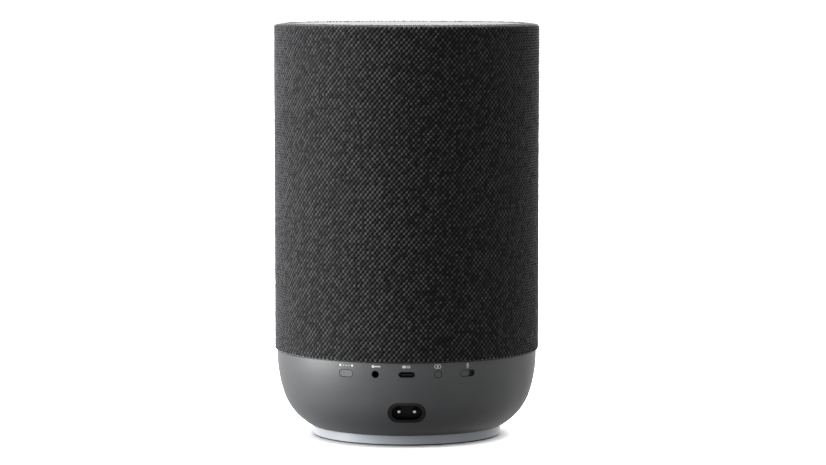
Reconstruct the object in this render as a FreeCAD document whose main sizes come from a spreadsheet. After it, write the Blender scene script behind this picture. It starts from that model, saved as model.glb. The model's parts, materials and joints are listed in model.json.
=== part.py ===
import FreeCAD, Part
import math
import os
import re
import Sketcher

# A round table-top speaker: a woven sleeve over a slotted core, a bowl-shaped base that holds
# the power supply and the sockets, and a sealed cabinet with a woofer and two tweeters.
# +Z is up, the drivers face -Y, the sockets face +Y, and the origin is on the table.

V = FreeCAD.Vector
X_AXIS = V(1, 0, 0)
Z_AXIS = V(0, 0, 1)

# Driving dimensions, in millimetres and degrees.
SIZES = {
    "body_diameter": 148, "body_height": 230, "base_height": 48,
    "fit_gap": 0.2, "screw_gap": 0.1, "slide_gap": 0.3, "rest_gap": 0.3,
    # fabric sleeve, slotted core and top
    "sleeve_wall": 1.2, "sleeve_round": 1.8, "hem_round": 0.6, "rim_width": 7.9, "rim_slope": 9,
    "tuck_depth": 6, "core_wall": 2.0, "core_columns": 20, "slot_width": 14, "slot_rows": 6,
    "slot_bar": 7, "panel_plate": 2.5, "panel_drop": 0.1, "panel_lip": 2.0, "frame_wall": 2.5,
    "frame_opening": 30, "touch_rise": 13, "main_rise": 5, "board_wall": 1.6, "touch_board_wall": 1.2,
    "main_post_radius": 50, "post_radius": 2.6, "mic_radius": 48, "mic_hole": 0.6,
    "seal_radius": 3.2, "guide_inner": 24, "guide_outer": 27, "can_wall": 0.4, "can_height": 3.2,
    # foot
    "foot_height": 5.7, "foot_radius": 52.4, "foot_inner": 44, "rubber_height": 1.8,
    "rubber_drop": 0.8, "rubber_width": 5.5, "rubber_edge": 0.5,
    # bowl of the base
    "bowl_wall": 2.5, "bowl_upper_radius": 70, "bowl_turn": 18.3, "bowl_foot_radius": 53.6,
    "rim_height": 1.7, "floor_opening": 33, "plate_radius": 41, "plate_wall": 1.8,
    "plate_screw_radius": 37, "deck_wall": 2.5, "boss": 3.2, "boss_depth": 13,
    # sockets and controls, on a row around the back of the base
    "port_height": 41.6, "port_inner_angle": 13.6, "port_outer_angle": 27.1,
    "connect_width": 8.4, "connect_height": 4.3, "pair_diameter": 4.3, "aux_diameter": 4.2,
    "aux_bore": 3.6, "usb_width": 8.94, "usb_height": 3.16, "usb_skin": 0.3, "usb_depth": 9.2,
    "mic_width": 9.0, "mic_height": 3.7, "mic_knob": 5.2, "mic_travel": 3.0,
    "io_half_angle": 37, "io_depth": 19.7, "io_rise": 1.6, "switch_half": 2.4, "switch_depth": 6.0,
    "slide_half": 4.6, "slide_depth": 4.4, "plunger_radius": 1.0, "flange_wall": 1.2, "ribbon_width": 20,
    # power inlet
    "inlet_height": 20.1, "inlet_width": 20.8, "inlet_tall": 11.4, "inlet_depth": 30,
    "block_depth": 10.5, "cavity_width": 16.6, "cavity_tall": 8.6, "cavity_depth": 22, "pin_diameter": 2.36,
    "pin_pitch": 8.6, "pin_length": 10, "pin_tail": 1.8,
    # power board
    "power_width": 80, "power_depth": 66, "power_rise": 5.2, "post": 3.0,
    "ferrite_half": 13, "ferrite_tall": 24, "ferrite_depth": 10, "window_in": 4,
    "window_out": 9, "yoke_wall": 5,
    "fins": 7, "fin_wall": 1.6, "fin_depth": 6.5, "sink_half": 16, "sink_depth": 9, "sink_height": 19,
    # cabinet
    "cabinet_gap": 6, "cabinet_wall": 3, "baffle_wall": 4, "baffle_offset": 46,
    "back_gap": 12, "cabinet_stand": 3.8, "stand_radius": 5, "lid_boss": 4.2, "lid_wall": 3,
    "gasket_wall": 1.0, "lead_hole": 11, "lead_radius": 1.1,
    # drivers
    "woofer_height": 108, "woofer_radius": 46.5, "woofer_hole": 38.7, "woofer_flange": 2.5,
    "coil_radius": 12.5, "tweeter_height": 180, "tweeter_spread": 24.5,
    "tweeter_radius": 19, "tweeter_hole": 15.5, "dome_radius": 9.5,
    # screws
    "case_shank": 1.5, "case_head": 2.7, "board_shank": 1.1, "board_head": 2.1,
}

# Places and sizes that follow from the driving dimensions.
PLACES = {
    "body_radius": "body_diameter / 2",
    "sleeve_inner": "body_radius - sleeve_wall",
    "core_outer": "sleeve_inner - fit_gap",
    "core_inner": "core_outer - core_wall",
    # rim of the sleeve: a corner, a gentle slope up and inwards, and a tuck down beside the panel
    "tuck_inner": "body_radius - rim_width",
    "tuck_outer": "tuck_inner + sleeve_wall",
    "rim_x": "body_radius - sleeve_round",
    "rim_run": "rim_width - hem_round - sleeve_round * (1 - sin(rim_slope))",
    "rim_z": "body_height - sleeve_round * cos(rim_slope) - rim_run * tan(rim_slope)",
    "base_radius": "core_outer",
    # bowl: an upper arc that leaves the rim straight down, and a lower arc that carries on from it
    "bowl_top": "base_height - fit_gap * 1.5 - rim_height",
    "upper_x": "base_radius - bowl_upper_radius",
    "join_x": "upper_x + bowl_upper_radius * cos(bowl_turn)",
    "join_z": "bowl_top - bowl_upper_radius * sin(bowl_turn)",
    "run_x": "join_x - bowl_foot_radius",
    "run_z": "join_z - foot_height",
    "run_across": "2 * run_x * cos(bowl_turn) - 2 * run_z * sin(bowl_turn)",
    "bowl_lower_radius": "(run_x ^ 2 + run_z ^ 2) / run_across",
    "lower_x": "join_x - bowl_lower_radius * cos(bowl_turn)",
    "lower_z": "join_z + bowl_lower_radius * sin(bowl_turn)",
    "rim_top": "bowl_top + rim_height",
    "rim_inner": "base_radius - bowl_wall",
    "floor_top": "foot_height + bowl_wall",
    "port_outer": "upper_x + sqrt(bowl_upper_radius ^ 2 - (bowl_top - port_height) ^ 2)",
    "port_inner": "port_outer - bowl_wall",
    "face_radius": "port_outer - fit_gap",
    "deck_top": "rim_top + deck_wall",
    "slot_floor": "deck_top + slot_bar",
    "slot_pitch": "(body_height - sleeve_wall - 2 * slot_bar - slot_floor) / slot_rows",
    "deck_boss_radius": "rim_inner - boss - 0.6",
    "io_outer": "port_outer - usb_depth + 3.9",
    "io_inner": "io_outer - io_depth",
    "io_post_radius": "io_inner + 4",
    "jack_back": "body_radius - 18",
    "switch_back": "body_radius - 14.4",
    "inlet_back": "body_radius - inlet_depth",
    "cavity_floor": "body_radius - cavity_depth",
    "cabinet_radius": "body_radius - cabinet_gap",
    "back_offset": "body_radius - back_gap",
    "cabinet_base": "deck_top + cabinet_stand",
    "cabinet_height": "body_height - lid_wall - gasket_wall - panel_plate - cabinet_base - 20.5",
    "cabinet_top": "cabinet_base + cabinet_height",
    "gasket_top": "cabinet_top + gasket_wall",
    "lid_top": "gasket_top + lid_wall",
    "panel_top": "body_height - panel_drop",
    "panel_under": "panel_top - panel_plate",
    "panel_radius": "tuck_inner - slide_gap",
    "frame_outer": "tuck_inner - fit_gap",
    "frame_inner": "frame_outer - frame_wall",
    "touch_board_radius": "frame_inner - 0.5",
    "touch_post_radius": "frame_inner - 4",
    "main_board_radius": "touch_post_radius - post_radius - 0.3",
    "frame_floor": "lid_top + lid_wall",
    "main_board_base": "lid_top + main_rise",
    "touch_board_base": "lid_top + touch_rise",
    "io_base": "port_height - io_rise - touch_board_wall",
    "io_top": "port_height - io_rise",
    "power_base": "floor_top + power_rise",
    "power_top": "power_base + board_wall",
    "rubber_outer": "foot_radius - rubber_edge",
    "rubber_inner": "rubber_outer - rubber_width",
    "cable_plane": "back_offset + 2.6",
}

NODES = []


def fill_sheet(doc, name, rows, start):
    """One spreadsheet: each row an alias and its content."""
    sheet = doc.addObject("Spreadsheet::Sheet", name)
    for row, (alias, content) in enumerate(rows.items(), start=1):
        sheet.set("A%d" % row, alias)
        sheet.set("B%d" % row, start + str(content))
        sheet.setAlias("B%d" % row, alias)
    doc.recompute()
    return sheet


def bound(formula):
    """A formula with each alias written as its sheet's own."""
    def place(word):
        if word[0] in SIZES:
            return "Sizes." + word[0]
        return "Places." + word[0] if word[0] in PLACES else word[0]
    return re.sub(r"[a-z]\w*", place, str(formula))


def number(formula):
    """The value of a formula, in millimetres or degrees."""
    return float(sizes.evalExpression(bound(formula)))


def keep(part, label):
    """Name an object as one of the pieces to write out."""
    part.Label = label
    NODES.append(part)
    return part


# ---- sketches and features -------------------------------------------------------------------

def new_body(label, kept=True):
    body = doc.addObject("PartDesign::Body", "Body_" + label)
    body.Label = label
    if kept:
        NODES.append(body)
    return body


def new_sketch(body, plane, away="0", turn="0"):
    """A sketch on one of the body's origin planes, turned about its Y and moved along its normal."""
    sketch = body.newObject("Sketcher::SketchObject", body.Name + "_sketch")
    origin_plane = [item for item in body.Origin.OriginFeatures if item.Role == plane + "_Plane"][0]
    sketch.AttachmentSupport = [(origin_plane, "")]
    sketch.MapMode = "FlatFace"
    sketch.AttachmentOffset = FreeCAD.Placement(V(0, 0, 0), FreeCAD.Rotation(V(0, 1, 0), 1))
    sketch.setExpression("AttachmentOffset.Rotation.Angle", bound(turn))
    sketch.setExpression("AttachmentOffset.Base.x", bound("(%s) * sin(%s)" % (away, turn)))
    sketch.setExpression("AttachmentOffset.Base.z", bound("(%s) * cos(%s)" % (away, turn)))
    return sketch


def fix(sketch, element, point, axis, formula):
    """Hold one coordinate of a sketch point at a formula's value."""
    row = sketch.addConstraint(Sketcher.Constraint("Distance" + axis, -1, 1, element, point, number(formula)))
    sketch.setExpression("Constraints[%d]" % row, bound(formula))


def outline(sketch, points):
    """A closed outline. A point is (x, y), or (x, y, centre_x, centre_y, way) where an arc leaves it."""
    first = sketch.GeometryCount
    count = len(points)
    places = [V(number(point[0]), number(point[1]), 0) for point in points]
    for index, point in enumerate(points):
        start, end = places[index], places[(index + 1) % count]
        if len(point) == 2:
            sketch.addGeometry(Part.LineSegment(start, end), False)
            continue
        centre = V(number(point[2]), number(point[3]), 0)
        tail, head = (start, end) if point[4] == "ccw" else (end, start)
        begin = math.atan2(tail.y - centre.y, tail.x - centre.x)
        finish = math.atan2(head.y - centre.y, head.x - centre.x)
        ring = Part.Circle(centre, Z_AXIS, (start - centre).Length)
        if finish < begin:
            finish += 2 * math.pi
        sketch.addGeometry(Part.ArcOfCircle(ring, begin, finish), False)
    starts = [2 if len(point) == 5 and point[4] == "cw" else 1 for point in points]
    for index, point in enumerate(points):
        following = (index + 1) % count
        sketch.addConstraint(Sketcher.Constraint(
            "Coincident", first + index, 3 - starts[index], first + following, starts[following]))
        fix(sketch, first + index, starts[index], "X", point[0])
        fix(sketch, first + index, starts[index], "Y", point[1])
        if len(point) == 5:
            chord = places[following] - places[index]
            along_x = abs(chord.y) > abs(chord.x)
            fix(sketch, first + index, 3, "X" if along_x else "Y", point[2] if along_x else point[3])


def rectangle(sketch, x0, y0, x1, y1):
    outline(sketch, [(x0, y0), (x1, y0), (x1, y1), (x0, y1)])


def circle(sketch, x, y, radius):
    row = sketch.addGeometry(Part.Circle(V(number(x), number(y), 0), Z_AXIS, number(radius)), False)
    fix(sketch, row, 3, "X", x)
    fix(sketch, row, 3, "Y", y)
    held = sketch.addConstraint(Sketcher.Constraint("Radius", row, number(radius)))
    sketch.setExpression("Constraints[%d]" % held, bound(radius))


def pill(sketch, x, y, width, tall):
    """A slot with half-round ends, lying along X."""
    left = "(%s) - (%s) / 2 + (%s) / 2" % (x, width, tall)
    right = "(%s) + (%s) / 2 - (%s) / 2" % (x, width, tall)
    low, high = "(%s) - (%s) / 2" % (y, tall), "(%s) + (%s) / 2" % (y, tall)
    outline(sketch, [(left, low), (right, low, right, y, "ccw"), (right, high), (left, high, left, y, "ccw")])


def port_shape(sketch, width, tall, extra):
    """The outline of a control or its opening: a pill, or a circle where both sizes are one."""
    if width == tall:
        circle(sketch, 0, "port_height", "((%s) + (%s)) / 2" % (width, extra))
    else:
        pill(sketch, 0, "port_height", "%s + %s" % (width, extra), "%s + %s" % (tall, extra))


def feature(body, kind, sketch, **settings):
    """Add a feature on a sketch. A text setting is a formula, anything else a plain value."""
    item = body.newObject("PartDesign::" + kind, body.Name + "_" + kind)
    item.Profile = sketch
    for name, setting in settings.items():
        if isinstance(setting, str):
            item.setExpression(name, bound(setting))
        else:
            setattr(item, name, setting)
    body.Tip = item
    doc.recompute()
    return item


def pad(body, sketch, length, **settings):
    return feature(body, "Pad", sketch, Length=length, **settings)


def pocket(body, sketch, length, **settings):
    """Cut a sketch into the body, and make sure that it cut something."""
    before = body.Shape.Volume
    item = feature(body, "Pocket", sketch, Length=length, **settings)
    assert body.Shape.Volume < before - 1e-6, body.Label + ": a pocket cut nothing"
    return item


def spin(body, points, kind="Revolution", **settings):
    """Revolve a closed outline of (radius, height) points about the body's Z axis."""
    sketch = new_sketch(body, "XZ")
    outline(sketch, points)
    item = feature(body, kind, sketch, Angle=360.0, **settings)
    item.ReferenceAxis = (sketch, ["V_Axis"])
    doc.recompute()
    return item


def spun(label, points):
    body = new_body(label)
    spin(body, points)
    return body


def ring(label, inner, outer, low, high):
    """A plain ring, or a disc when the inner radius is 0."""
    return spun(label, [(inner, low), (outer, low), (outer, high), (inner, high)])


def around(body, item, count):
    """Repeat a feature around the body's Z axis."""
    pattern = body.newObject("PartDesign::PolarPattern", body.Name + "_pattern")
    pattern.Originals = [item]
    pattern.Axis = ([part for part in body.Origin.OriginFeatures if part.Role == "Z_Axis"][0], [""])
    pattern.Angle = 360
    pattern.setExpression("Occurrences", bound(count))
    body.Tip = pattern
    doc.recompute()
    return pattern


def face_front(body, height, x="0"):
    """Stand a driver piece up: its own +Z looks along -Y, out of the baffle."""
    body.Placement = FreeCAD.Placement(V(0, 0, 0), FreeCAD.Rotation(X_AXIS, 90))
    body.setExpression("Placement.Base.x", bound(x))
    body.setExpression("Placement.Base.y", bound("-baffle_offset"))
    body.setExpression("Placement.Base.z", bound(height))
    return body


def solid(label, shape):
    """A piece whose shape is worked out in code."""
    part = doc.addObject("Part::Feature", "Shape_" + label)
    part.Shape = shape
    return keep(part, label)


def polar(radius, angle, height):
    """A point by its radius and its angle from +X."""
    turn = math.radians(angle)
    return V(radius * math.cos(turn), radius * math.sin(turn), height)


# ---- screws ----------------------------------------------------------------------------------

def screw_master(label, shank, head):
    """A cross-recess screw, head up, with the underside of its head at the origin."""
    body = new_body(label, kept=False)
    tall = head + " * 0.6"
    spin(body, [(0, "-%s * 4" % shank), (shank, "-%s * 4" % shank), (shank, 0), (head, 0),
                (head, tall + " * 0.5"), (head + " * 0.7", tall), (0, tall)])
    sketch = new_sketch(body, "XY", away=tall)
    arm, half = head + " * 0.5", head + " * 0.13"
    outline(sketch, [("-" + half, "-" + arm), (half, "-" + arm), (half, "-" + half), (arm, "-" + half),
                     (arm, half), (half, half), (half, arm), ("-" + half, arm), ("-" + half, half),
                     ("-" + arm, half), ("-" + arm, "-" + half), ("-" + half, "-" + half)])
    pocket(body, sketch, head + " * 0.35")
    return body


def screw_group(label, master, spots):
    """Copies of one screw. A spot is (place, direction that the head faces)."""
    copies = []
    for place, facing in spots:
        copy = master.Shape.copy()
        copy.Placement = FreeCAD.Placement(place, FreeCAD.Rotation(Z_AXIS, facing))
        copies.append(copy)
    return solid(label, Part.Compound(copies))


# ---- leads -----------------------------------------------------------------------------------

def lead(points, radius, bend):
    """A round lead along straight runs joined by tangent arcs."""
    edges = []
    here = points[0]
    for before, corner, after in zip(points, points[1:], points[2:]):
        come, leave = (corner - before).normalize(), (after - corner).normalize()
        cut = bend * math.tan(come.getAngle(leave) / 2)
        first, last = corner - come * cut, corner + leave * cut
        half = (leave - come).normalize()
        middle = corner + half * (math.hypot(bend, cut) - bend)
        edges += [Part.LineSegment(here, first).toShape(), Part.Arc(first, middle, last).toShape()]
        here = last
    edges.append(Part.LineSegment(here, points[-1]).toShape())
    path = Part.Wire(edges)
    start = (points[1] - points[0]).normalize()
    section = Part.Wire(Part.Circle(points[0], start, radius).toShape())
    tube = path.makePipeShell([section], True, True)
    expected = math.pi * radius ** 2 * path.Length
    assert abs(tube.Volume - expected) < 0.02 * expected, "a lead is the wrong size"
    return tube


# ---- foot ------------------------------------------------------------------------------------

def make_foot():
    ring("rubber_foot", "rubber_inner", "rubber_outer", 0, "rubber_height")
    spun("foot_ring", [
        ("foot_inner", "rubber_drop"), ("rubber_inner", "rubber_drop"), ("rubber_inner", "rubber_height"),
        ("rubber_outer", "rubber_height"), ("rubber_outer", "rubber_drop"),
        ("foot_radius", "rubber_drop"), ("foot_radius", "foot_height"), ("foot_inner", "foot_height")])


# ---- base shell ------------------------------------------------------------------------------

def bowl_height_radius(wall, height):
    """The formula for the bowl's radius at a height on its lower arc, a wall's thickness inside."""
    return "lower_x + sqrt((bowl_lower_radius - (%s)) ^ 2 - (lower_z - (%s)) ^ 2)" % (wall, height)


def bowl_join(wall):
    """Where the two arcs of the bowl meet, a wall's thickness inside."""
    reach = "(bowl_upper_radius - (%s))" % wall
    return "upper_x + %s * cos(bowl_turn)" % reach, "bowl_top - %s * sin(bowl_turn)" % reach


def port_openings():
    """Each opening of the socket row: its angle, width and height."""
    return [("-port_outer_angle", "connect_width", "connect_height"),
            ("-port_inner_angle", "aux_diameter", "aux_diameter"),
            ("0", "usb_width + fit_gap", "usb_height + fit_gap"),
            ("port_inner_angle", "pair_diameter", "pair_diameter"),
            ("port_outer_angle", "mic_width", "mic_height")]


def make_base_shell():
    join_x, join_z = bowl_join("bowl_wall")
    body = spun("base_shell", [
        ("floor_opening", "foot_height"),
        ("bowl_foot_radius", "foot_height", "lower_x", "lower_z", "ccw"),
        ("join_x", "join_z", "upper_x", "bowl_top", "ccw"),
        ("base_radius", "bowl_top"), ("base_radius", "rim_top"),
        ("rim_inner", "rim_top"), ("rim_inner", "bowl_top", "upper_x", "bowl_top", "cw"),
        (join_x, join_z, "lower_x", "lower_z", "cw"),
        (bowl_height_radius("bowl_wall", "floor_top"), "floor_top"), ("floor_opening", "floor_top")])
    posts = new_sketch(body, "XY", away="floor_top - 1")
    for x, y in power_posts():
        circle(posts, x, y, "post")
    pad(body, posts, "power_rise + 1")
    bosses = new_sketch(body, "XY", away="rim_top")
    for x, y in deck_bosses():
        circle(bosses, x, y, "boss")
    pad(body, bosses, "boss_depth", Reversed=True)
    holes = new_sketch(body, "XY", away="rim_top")
    for x, y in deck_bosses():
        circle(holes, x, y, "case_shank + screw_gap")
    pocket(body, holes, "case_shank * 4 + 1")
    board_holes = new_sketch(body, "XY", away="power_base")
    for x, y in power_posts():
        circle(board_holes, x, y, "board_shank + screw_gap")
    pocket(body, board_holes, "board_shank * 4")
    floor_holes = new_sketch(body, "XY", away="floor_top")
    for x, y in plate_holes():
        circle(floor_holes, x, y, "case_shank + screw_gap")
    pocket(body, floor_holes, "bowl_wall + 1")
    inlet = new_sketch(body, "XZ", away="-inlet_back")
    pill(inlet, 0, "inlet_height", "inlet_width", "inlet_tall")
    pocket(body, inlet, "body_radius")
    for angle, width, tall in port_openings():
        hole = new_sketch(body, "XZ", away="-io_inner", turn=angle)
        port_shape(hole, width, tall, "0")
        pocket(body, hole, "body_radius - io_inner")
    return body


def power_posts():
    across, along = "(power_width / 2 - post - 1)", "(power_depth / 2 - post - 1)"
    return [(sx + across, sy + along) for sx in ("", "-") for sy in ("", "-")]


def deck_bosses():
    reach = "(deck_boss_radius * cos(45))"
    return [(sx + reach, sy + reach) for sx in ("", "-") for sy in ("", "-")]


def plate_holes():
    return [("plate_screw_radius", 0), ("-plate_screw_radius", 0), (0, "plate_screw_radius"),
            (0, "-plate_screw_radius")]


def make_bottom_plate():
    body = ring("bottom_plate", 0, "plate_radius", "floor_top", "floor_top + plate_wall")
    holes = new_sketch(body, "XY", away="floor_top + plate_wall")
    for x, y in plate_holes():
        circle(holes, x, y, "case_shank + screw_gap")
    pocket(body, holes, "plate_wall + 1")
    return body


# ---- power supply ----------------------------------------------------------------------------

def make_power_board():
    body = new_body("power_board")
    sheet = new_sketch(body, "XY", away="power_base")
    rectangle(sheet, "-power_width / 2", "-power_depth / 2", "power_width / 2", "power_depth / 2")
    pad(body, sheet, "board_wall")
    holes = new_sketch(body, "XY", away="power_top")
    for x, y in power_posts():
        circle(holes, x, y, "board_shank + screw_gap")
    pocket(body, holes, "board_wall + 1")


def make_transformer():
    """A two-window ferrite core, its centre leg inside the winding."""
    core = new_body("transformer_core")
    face = new_sketch(core, "XZ")
    rectangle(face, "-ferrite_half", 0, "ferrite_half", "ferrite_tall")
    rectangle(face, "-window_out", "yoke_wall", "-window_in", "ferrite_tall - yoke_wall")
    rectangle(face, "window_in", "yoke_wall", "window_out", "ferrite_tall - yoke_wall")
    pad(core, face, "ferrite_depth", Midplane=True)
    winding = new_body("transformer_winding")
    plan = new_sketch(winding, "XY", away="yoke_wall + fit_gap")
    for x, y in (("(window_out - fit_gap)", "ferrite_depth"),
                 ("(window_in + fit_gap)", "(ferrite_depth / 2 + fit_gap)")):
        rectangle(plan, "-" + x, "-" + y, x, y)
    pad(winding, plan, "ferrite_tall - 2 * yoke_wall - 2 * fit_gap")
    for body in (core, winding):
        body.Placement = FreeCAD.Placement(V(-14, -4, 0), FreeCAD.Rotation())
        body.setExpression("Placement.Base.z", bound("power_top"))


def make_power_parts():
    cans = []
    for x, y, radius, tall in ((24, -12, 8, 24), (16, 9, 5, 16), (29, 9, 5, 16)):
        can = Part.makeCylinder(radius, tall, V(x, y, number("power_top")))
        cans.append(can.makeFillet(0.8, [edge for edge in can.Edges if edge.Closed]))
    solid("capacitors", Part.Compound(cans))
    body = new_body("heat_sink")
    plan = new_sketch(body, "XY", away="power_top")
    fins, wall, half = (number(name) for name in ("fins", "fin_wall", "sink_half"))
    back = -number("power_depth / 2 - 5")
    root, tip = back + number("sink_depth - fin_depth"), back + number("sink_depth")
    points = [(-half, back), (half, back)]
    for fin in range(int(fins)):
        right = half - fin * (2 * half - wall) / (fins - 1)
        if fin > 0:
            points.append((right, root))
        points += [(right, tip), (right - wall, tip)]
        if fin < fins - 1:
            points.append((right - wall, root))
    outline(plan, points)
    pad(body, plan, "sink_height")


def make_inlet():
    """The two-pin power inlet: a collar in the bowl's opening on a block behind the wall."""
    body = new_body("ac_inlet")
    block = new_sketch(body, "XZ", away="-inlet_back")
    rectangle(block, "-inlet_width / 2 - 1.5", "inlet_height - inlet_tall / 2 - 1.6",
              "inlet_width / 2 + 1.5", "inlet_height + inlet_tall / 2 + 1.6")
    pad(body, block, "block_depth", Reversed=True)
    collar = new_sketch(body, "XZ", away="-inlet_back")
    pill(collar, 0, "inlet_height", "inlet_width - 2 * fit_gap", "inlet_tall - 2 * fit_gap")
    pad(body, collar, "body_radius - inlet_back", Reversed=True)
    low, high = "inlet_height - inlet_tall / 2 - 1", "join_z"
    join_x, join_z = bowl_join("rest_gap")
    spin(body, [(bowl_height_radius("rest_gap", low), low, "lower_x", "lower_z", "ccw"), (join_x, join_z),
                (join_x, "inlet_height + inlet_tall"), ("body_radius + 2", "inlet_height + inlet_tall"),
                ("body_radius + 2", low)], kind="Groove")
    cavity = new_sketch(body, "XZ", away="-cavity_floor")
    pill(cavity, 0, "inlet_height", "cavity_width", "cavity_tall")
    pocket(body, cavity, "body_radius - cavity_floor")
    pins = new_sketch(body, "XZ", away="-inlet_back")
    for side in ("", "-"):
        circle(pins, side + "pin_pitch / 2", "inlet_height", "pin_tail / 2 + 0.02")
    pocket(body, pins, "cavity_floor - inlet_back + 1")


def pin_tails():
    """Where the pins' tails end, behind the inlet, and the leads begin."""
    back = number("inlet_back - 3")
    return [V(side * number("pin_pitch / 2"), back, number("inlet_height")) for side in (-1, 1)]


def make_pins():
    """Two round pins with domed tips, each on a thinner tail that runs through the inlet."""
    pins = []
    radius, length = number("pin_diameter / 2"), number("pin_length")
    ahead = V(0, 1, 0)
    for end in pin_tails():
        tail = Part.makeCylinder(number("pin_tail / 2"), number("cavity_floor") - end.y, end, ahead)
        pin = Part.makeCylinder(radius, length, V(end.x, number("cavity_floor"), end.z), ahead)
        tip = [edge for edge in pin.Edges if edge.Closed and edge.BoundBox.YMin > pin.BoundBox.YMax - 0.01]
        pins.append(pin.makeFillet(radius * 0.6, tip).fuse(tail))
    solid("ac_pins", Part.Compound(pins))


def make_mains_leads():
    """Each lead leaves its pin's tail, and turns down to the board."""
    leads = []
    fold = number("power_depth / 2 - 4")
    for end in pin_tails():
        route = [end, V(end.x, fold, end.z), V(end.x, fold, number("power_top"))]
        leads.append(lead(route, number("lead_radius"), 1.6))
    solid("mains_leads", Part.Compound(leads))


# ---- sockets and controls --------------------------------------------------------------------

def io_posts():
    """Where the deck's hanging posts meet the socket board: angles from +Y."""
    return (-20.4, 0, 20.4)


def make_io_board():
    body = new_body("io_board")
    plan = new_sketch(body, "XY", away="io_base")
    far_x, far_y = "io_outer * sin(io_half_angle)", "io_outer * cos(io_half_angle)"
    near_x, near_y = "io_inner * sin(io_half_angle)", "io_inner * cos(io_half_angle)"
    outline(plan, [(near_x, near_y), (far_x, far_y, 0, 0, "ccw"), ("-(%s)" % far_x, far_y),
                   ("-(%s)" % near_x, near_y, 0, 0, "cw")])
    pad(body, plan, "touch_board_wall")
    holes = new_sketch(body, "XY", away="io_top")
    for angle in io_posts():
        circle(holes, "io_post_radius * sin(%s)" % angle, "io_post_radius * cos(%s)" % angle,
               "board_shank + screw_gap")
    pocket(body, holes, "touch_board_wall + 1")
    notch = new_sketch(body, "XZ", away="-(jack_back - fit_gap)", turn="-port_inner_angle")
    rectangle(notch, -3.5, "io_base - 1", 3.5, "io_top + 1")
    pocket(body, notch, "body_radius - jack_back")


def make_usb():
    shell = new_body("usb_shell")
    case = new_sketch(shell, "XZ", away="-(face_radius - usb_depth)")
    pill(case, 0, "port_height", "usb_width", "usb_height")
    pad(shell, case, "usb_depth", Reversed=True)
    mouth = new_sketch(shell, "XZ", away="-(face_radius - usb_depth + 0.4)")
    pill(mouth, 0, "port_height", "usb_width - 2 * usb_skin", "usb_height - 2 * usb_skin")
    pocket(shell, mouth, "usb_depth")
    tongue = new_body("usb_tongue")
    tab = new_sketch(tongue, "XZ", away="-(face_radius - usb_depth + 0.4)")
    rectangle(tab, -3.35, "port_height - 0.35", 3.35, "port_height + 0.35")
    pad(tongue, tab, "usb_depth - 1", Reversed=True)


def turn_about_axis(body, angle):
    """Turn a piece that was modelled facing +Y to its place around the base."""
    body.Placement = FreeCAD.Placement(V(0, 0, 0), FreeCAD.Rotation(Z_AXIS, 1))
    body.setExpression("Placement.Rotation.Angle", bound(angle))
    return body


def make_aux_jack():
    body = new_body("aux_jack")
    block = new_sketch(body, "XZ", away="-jack_back")
    rectangle(block, -3.2, "port_height - 2.9", 3.2, "port_height + 2.9")
    pad(body, block, "port_inner - rest_gap - jack_back", Reversed=True)
    nose = new_sketch(body, "XZ", away="-jack_back")
    circle(nose, 0, "port_height", "aux_diameter / 2 - 0.05")
    pad(body, nose, "face_radius - jack_back", Reversed=True)
    bore = new_sketch(body, "XZ", away="-(jack_back + flange_wall)")
    circle(bore, 0, "port_height", "aux_bore / 2")
    pocket(body, bore, "body_radius - jack_back")
    turn_about_axis(body, "-port_inner_angle")


def button_face(width):
    """The depth of a button's flange front: close behind the curved wall, at the button's width."""
    return "sqrt(port_inner ^ 2 - ((%s) / 2 + 0.6) ^ 2) - rest_gap" % width


def make_button(label, angle, width, tall):
    """A cap through the wall, the flange that keeps it in, and its plunger."""
    body = new_body(label)
    flange_front = button_face(width)
    flange = new_sketch(body, "XZ", away="-(%s)" % flange_front)
    port_shape(flange, width, tall, "flange_wall")
    pad(body, flange, "flange_wall")
    cap = new_sketch(body, "XZ", away="-(%s)" % flange_front)
    port_shape(cap, width, tall, "(-2 * slide_gap)")
    pad(body, cap, "face_radius - (%s)" % flange_front, Reversed=True)
    turn_about_axis(body, angle)
    plunger = new_body(label.replace("button", "plunger"))
    stem = new_sketch(plunger, "XZ", away="-(switch_back + 4.8)")
    circle(stem, 0, "port_height", "plunger_radius")
    pad(plunger, stem, "(%s) - flange_wall - switch_back - 4.8" % flange_front, Reversed=True)
    turn_about_axis(plunger, angle)


def make_switches():
    """Two push switches with a bore for the plunger, and the slide switch with its lever."""
    master = new_body("push_switch", kept=False)
    case = new_sketch(master, "XZ", away="-switch_back")
    rectangle(case, "-switch_half", "io_top", "switch_half", "port_height + 2.2")
    pad(master, case, "switch_depth", Reversed=True)
    bore = new_sketch(master, "XZ", away="-(switch_back + 3.4)")
    circle(bore, 0, "port_height", "plunger_radius + 0.25")
    pocket(master, bore, "switch_depth")
    copies = []
    for angle in ("-port_outer_angle", "port_inner_angle"):
        copy = master.Shape.copy()
        copy.Placement = FreeCAD.Placement(V(0, 0, 0), FreeCAD.Rotation(Z_AXIS, number(angle)))
        copies.append(copy)
    solid("push_switches", Part.Compound(copies))
    slide = new_body("mic_switch")
    block = new_sketch(slide, "XZ", away="-switch_back")
    rectangle(block, "-slide_half", "io_top", "slide_half", "port_height + 2.0")
    pad(slide, block, "slide_depth", Reversed=True)
    slot = new_sketch(slide, "XZ", away="-(switch_back + 1.9)")
    rectangle(slot, "-mic_travel / 2 - 1.3", "port_height - 0.9", "mic_travel / 2 + 1.3", "port_height + 0.9")
    pocket(slide, slot, "slide_depth")
    turn_about_axis(slide, "port_outer_angle")


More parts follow.
